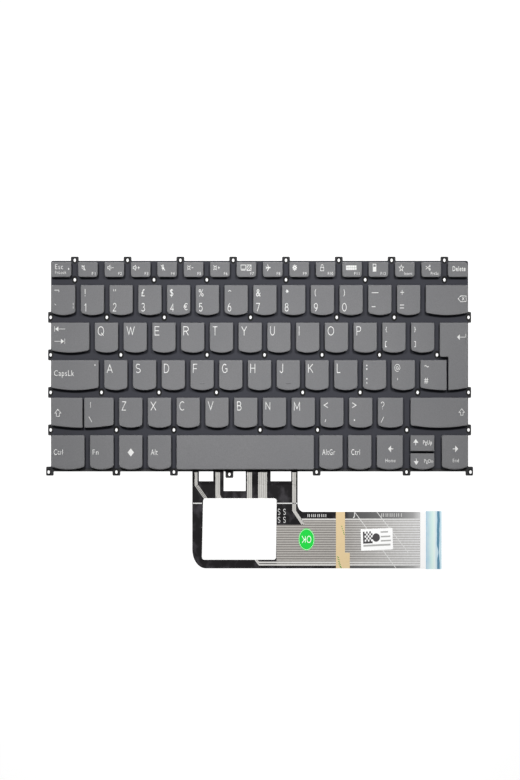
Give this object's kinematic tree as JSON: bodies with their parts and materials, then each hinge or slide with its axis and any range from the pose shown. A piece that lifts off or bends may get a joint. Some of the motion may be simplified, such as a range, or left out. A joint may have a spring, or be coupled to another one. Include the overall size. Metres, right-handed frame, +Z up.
{
  "type": "laptop keyboard",
  "caption": "Loose laptop keyboard: rows of separate low keys on a thin plate with screw ears, and a flat printed ribbon tail that ends in a contact strip.",
  "frame": {"origin": "middle of the base plate's underside", "axes": "+X along the rows to the Enter side, +Y to the function row, +Z up through the keycaps"},
  "size_m": [0.283, 0.1499, 0.004],
  "materials": {
    "coated_steel": "matte black coating",
    "printed_film": "dark grey print on polyester film",
    "ribbon_film": "black carbon print on polyester film",
    "stiffener_film": "pale blue film",
    "white_paper": "smooth white",
    "green_paper": "bright green",
    "beige_paper": "beige",
    "dome_rubber": "milky silicone",
    "bar_steel": "drawn wire",
    "keycap": "fine matte grey"
  },
  "bodies": {
    "keyboard": {"base_plate": "coated_steel", "membrane": "printed_film", "flex_tail": "ribbon_film", "contact_stiffener": "stiffener_film", "blank_label": "white_paper", "ok_sticker": "green_paper", "code_label": "white_paper", "paper_tape": "beige_paper", "rubber_domes": "dome_rubber", "stabiliser_bars": "bar_steel", "function_keys": "keycap", "symbol_keys": "keycap", "modifier_keys": "keycap"},
    "key_1": {"key_1": "keycap"},
    "key_2": {"key_2": "keycap"},
    "key_3": {"key_3": "keycap"},
    "key_4": {"key_4": "keycap"},
    "key_5": {"key_5": "keycap"},
    "key_6": {"key_6": "keycap"},
    "key_7": {"key_7": "keycap"},
    "key_8": {"key_8": "keycap"},
    "key_9": {"key_9": "keycap"},
    "key_0": {"key_0": "keycap"},
    "key_q": {"key_q": "keycap"},
    "key_w": {"key_w": "keycap"},
    "key_e": {"key_e": "keycap"},
    "key_r": {"key_r": "keycap"},
    "key_t": {"key_t": "keycap"},
    "key_y": {"key_y": "keycap"},
    "key_u": {"key_u": "keycap"},
    "key_i": {"key_i": "keycap"},
    "key_o": {"key_o": "keycap"},
    "key_p": {"key_p": "keycap"},
    "key_a": {"key_a": "keycap"},
    "key_s": {"key_s": "keycap"},
    "key_d": {"key_d": "keycap"},
    "key_f": {"key_f": "keycap"},
    "key_g": {"key_g": "keycap"},
    "key_h": {"key_h": "keycap"},
    "key_j": {"key_j": "keycap"},
    "key_k": {"key_k": "keycap"},
    "key_l": {"key_l": "keycap"},
    "key_z": {"key_z": "keycap"},
    "key_x": {"key_x": "keycap"},
    "key_c": {"key_c": "keycap"},
    "key_v": {"key_v": "keycap"},
    "key_b": {"key_b": "keycap"},
    "key_n": {"key_n": "keycap"},
    "key_m": {"key_m": "keycap"},
    "key_backspace": {"key_backspace": "keycap"},
    "key_tab": {"key_tab": "keycap"},
    "key_enter": {"key_enter": "keycap"},
    "key_caps_lock": {"key_caps_lock": "keycap"},
    "key_left_shift": {"key_left_shift": "keycap"},
    "key_right_shift": {"key_right_shift": "keycap"},
    "key_space": {"key_space": "keycap"},
    "key_left": {"key_left": "keycap"},
    "key_up": {"key_up": "keycap"},
    "key_down": {"key_down": "keycap"},
    "key_right": {"key_right": "keycap"}
  },
  "joints": [
    {"name": "key_1_press", "type": "slide", "parent": "keyboard", "child": "key_1", "axis": [0, 0, -1], "range_m": [0, 0.0013], "stiffness_N_per_m": 450, "deforming": ["rubber_domes"]},
    {"name": "key_2_press", "type": "slide", "parent": "keyboard", "child": "key_2", "axis": [0, 0, -1], "range_m": [0, 0.0013], "stiffness_N_per_m": 450, "deforming": ["rubber_domes"]},
    {"name": "key_3_press", "type": "slide", "parent": "keyboard", "child": "key_3", "axis": [0, 0, -1], "range_m": [0, 0.0013], "stiffness_N_per_m": 450, "deforming": ["rubber_domes"]},
    {"name": "key_4_press", "type": "slide", "parent": "keyboard", "child": "key_4", "axis": [0, 0, -1], "range_m": [0, 0.0013], "stiffness_N_per_m": 450, "deforming": ["rubber_domes"]},
    {"name": "key_5_press", "type": "slide", "parent": "keyboard", "child": "key_5", "axis": [0, 0, -1], "range_m": [0, 0.0013], "stiffness_N_per_m": 450, "deforming": ["rubber_domes"]},
    {"name": "key_6_press", "type": "slide", "parent": "keyboard", "child": "key_6", "axis": [0, 0, -1], "range_m": [0, 0.0013], "stiffness_N_per_m": 450, "deforming": ["rubber_domes"]},
    {"name": "key_7_press", "type": "slide", "parent": "keyboard", "child": "key_7", "axis": [0, 0, -1], "range_m": [0, 0.0013], "stiffness_N_per_m": 450, "deforming": ["rubber_domes"]},
    {"name": "key_8_press", "type": "slide", "parent": "keyboard", "child": "key_8", "axis": [0, 0, -1], "range_m": [0, 0.0013], "stiffness_N_per_m": 450, "deforming": ["rubber_domes"]},
    {"name": "key_9_press", "type": "slide", "parent": "keyboard", "child": "key_9", "axis": [0, 0, -1], "range_m": [0, 0.0013], "stiffness_N_per_m": 450, "deforming": ["rubber_domes"]},
    {"name": "key_0_press", "type": "slide", "parent": "keyboard", "child": "key_0", "axis": [0, 0, -1], "range_m": [0, 0.0013], "stiffness_N_per_m": 450, "deforming": ["rubber_domes"]},
    {"name": "key_q_press", "type": "slide", "parent": "keyboard", "child": "key_q", "axis": [0, 0, -1], "range_m": [0, 0.0013], "stiffness_N_per_m": 450, "deforming": ["rubber_domes"]},
    {"name": "key_w_press", "type": "slide", "parent": "keyboard", "child": "key_w", "axis": [0, 0, -1], "range_m": [0, 0.0013], "stiffness_N_per_m": 450, "deforming": ["rubber_domes"]},
    {"name": "key_e_press", "type": "slide", "parent": "keyboard", "child": "key_e", "axis": [0, 0, -1], "range_m": [0, 0.0013], "stiffness_N_per_m": 450, "deforming": ["rubber_domes"]},
    {"name": "key_r_press", "type": "slide", "parent": "keyboard", "child": "key_r", "axis": [0, 0, -1], "range_m": [0, 0.0013], "stiffness_N_per_m": 450, "deforming": ["rubber_domes"]},
    {"name": "key_t_press", "type": "slide", "parent": "keyboard", "child": "key_t", "axis": [0, 0, -1], "range_m": [0, 0.0013], "stiffness_N_per_m": 450, "deforming": ["rubber_domes"]},
    {"name": "key_y_press", "type": "slide", "parent": "keyboard", "child": "key_y", "axis": [0, 0, -1], "range_m": [0, 0.0013], "stiffness_N_per_m": 450, "deforming": ["rubber_domes"]},
    {"name": "key_u_press", "type": "slide", "parent": "keyboard", "child": "key_u", "axis": [0, 0, -1], "range_m": [0, 0.0013], "stiffness_N_per_m": 450, "deforming": ["rubber_domes"]},
    {"name": "key_i_press", "type": "slide", "parent": "keyboard", "child": "key_i", "axis": [0, 0, -1], "range_m": [0, 0.0013], "stiffness_N_per_m": 450, "deforming": ["rubber_domes"]},
    {"name": "key_o_press", "type": "slide", "parent": "keyboard", "child": "key_o", "axis": [0, 0, -1], "range_m": [0, 0.0013], "stiffness_N_per_m": 450, "deforming": ["rubber_domes"]},
    {"name": "key_p_press", "type": "slide", "parent": "keyboard", "child": "key_p", "axis": [0, 0, -1], "range_m": [0, 0.0013], "stiffness_N_per_m": 450, "deforming": ["rubber_domes"]},
    {"name": "key_a_press", "type": "slide", "parent": "keyboard", "child": "key_a", "axis": [0, 0, -1], "range_m": [0, 0.0013], "stiffness_N_per_m": 450, "deforming": ["rubber_domes"]},
    {"name": "key_s_press", "type": "slide", "parent": "keyboard", "child": "key_s", "axis": [0, 0, -1], "range_m": [0, 0.0013], "stiffness_N_per_m": 450, "deforming": ["rubber_domes"]},
    {"name": "key_d_press", "type": "slide", "parent": "keyboard", "child": "key_d", "axis": [0, 0, -1], "range_m": [0, 0.0013], "stiffness_N_per_m": 450, "deforming": ["rubber_domes"]},
    {"name": "key_f_press", "type": "slide", "parent": "keyboard", "child": "key_f", "axis": [0, 0, -1], "range_m": [0, 0.0013], "stiffness_N_per_m": 450, "deforming": ["rubber_domes"]},
    {"name": "key_g_press", "type": "slide", "parent": "keyboard", "child": "key_g", "axis": [0, 0, -1], "range_m": [0, 0.0013], "stiffness_N_per_m": 450, "deforming": ["rubber_domes"]},
    {"name": "key_h_press", "type": "slide", "parent": "keyboard", "child": "key_h", "axis": [0, 0, -1], "range_m": [0, 0.0013], "stiffness_N_per_m": 450, "deforming": ["rubber_domes"]},
    {"name": "key_j_press", "type": "slide", "parent": "keyboard", "child": "key_j", "axis": [0, 0, -1], "range_m": [0, 0.0013], "stiffness_N_per_m": 450, "deforming": ["rubber_domes"]},
    {"name": "key_k_press", "type": "slide", "parent": "keyboard", "child": "key_k", "axis": [0, 0, -1], "range_m": [0, 0.0013], "stiffness_N_per_m": 450, "deforming": ["rubber_domes"]},
    {"name": "key_l_press", "type": "slide", "parent": "keyboard", "child": "key_l", "axis": [0, 0, -1], "range_m": [0, 0.0013], "stiffness_N_per_m": 450, "deforming": ["rubber_domes"]},
    {"name": "key_z_press", "type": "slide", "parent": "keyboard", "child": "key_z", "axis": [0, 0, -1], "range_m": [0, 0.0013], "stiffness_N_per_m": 450, "deforming": ["rubber_domes"]},
    {"name": "key_x_press", "type": "slide", "parent": "keyboard", "child": "key_x", "axis": [0, 0, -1], "range_m": [0, 0.0013], "stiffness_N_per_m": 450, "deforming": ["rubber_domes"]},
    {"name": "key_c_press", "type": "slide", "parent": "keyboard", "child": "key_c", "axis": [0, 0, -1], "range_m": [0, 0.0013], "stiffness_N_per_m": 450, "deforming": ["rubber_domes"]},
    {"name": "key_v_press", "type": "slide", "parent": "keyboard", "child": "key_v", "axis": [0, 0, -1], "range_m": [0, 0.0013], "stiffness_N_per_m": 450, "deforming": ["rubber_domes"]},
    {"name": "key_b_press", "type": "slide", "parent": "keyboard", "child": "key_b", "axis": [0, 0, -1], "range_m": [0, 0.0013], "stiffness_N_per_m": 450, "deforming": ["rubber_domes"]},
    {"name": "key_n_press", "type": "slide", "parent": "keyboard", "child": "key_n", "axis": [0, 0, -1], "range_m": [0, 0.0013], "stiffness_N_per_m": 450, "deforming": ["rubber_domes"]},
    {"name": "key_m_press", "type": "slide", "parent": "keyboard", "child": "key_m", "axis": [0, 0, -1], "range_m": [0, 0.0013], "stiffness_N_per_m": 450, "deforming": ["rubber_domes"]},
    {"name": "key_backspace_press", "type": "slide", "parent": "keyboard", "child": "key_backspace", "axis": [0, 0, -1], "range_m": [0, 0.0013], "stiffness_N_per_m": 450, "deforming": ["rubber_domes", "stabiliser_bars"]},
    {"name": "key_tab_press", "type": "slide", "parent": "keyboard", "child": "key_tab", "axis": [0, 0, -1], "range_m": [0, 0.0013], "stiffness_N_per_m": 450, "deforming": ["rubber_domes", "stabiliser_bars"]},
    {"name": "key_enter_press", "type": "slide", "parent": "keyboard", "child": "key_enter", "axis": [0, 0, -1], "range_m": [0, 0.0013], "stiffness_N_per_m": 450, "deforming": ["rubber_domes", "stabiliser_bars"]},
    {"name": "key_caps_lock_press", "type": "slide", "parent": "keyboard", "child": "key_caps_lock", "axis": [0, 0, -1], "range_m": [0, 0.0013], "stiffness_N_per_m": 450, "deforming": ["rubber_domes", "stabiliser_bars"]},
    {"name": "key_left_shift_press", "type": "slide", "parent": "keyboard", "child": "key_left_shift", "axis": [0, 0, -1], "range_m": [0, 0.0013], "stiffness_N_per_m": 450, "deforming": ["rubber_domes"]},
    {"name": "key_right_shift_press", "type": "slide", "parent": "keyboard", "child": "key_right_shift", "axis": [0, 0, -1], "range_m": [0, 0.0013], "stiffness_N_per_m": 450, "deforming": ["rubber_domes", "stabiliser_bars"]},
    {"name": "key_space_press", "type": "slide", "parent": "keyboard", "child": "key_space", "axis": [0, 0, -1], "range_m": [0, 0.0013], "stiffness_N_per_m": 450, "deforming": ["rubber_domes", "stabiliser_bars"]},
    {"name": "key_left_press", "type": "slide", "parent": "keyboard", "child": "key_left", "axis": [0, 0, -1], "range_m": [0, 0.0013], "stiffness_N_per_m": 450, "deforming": ["rubber_domes"]},
    {"name": "key_up_press", "type": "slide", "parent": "keyboard", "child": "key_up", "axis": [0, 0, -1], "range_m": [0, 0.0013], "stiffness_N_per_m": 450, "deforming": ["rubber_domes"]},
    {"name": "key_down_press", "type": "slide", "parent": "keyboard", "child": "key_down", "axis": [0, 0, -1], "range_m": [0, 0.0013], "stiffness_N_per_m": 450, "deforming": ["rubber_domes"]},
    {"name": "key_right_press", "type": "slide", "parent": "keyboard", "child": "key_right", "axis": [0, 0, -1], "range_m": [0, 0.0013], "stiffness_N_per_m": 450, "deforming": ["rubber_domes"]}
  ]
}
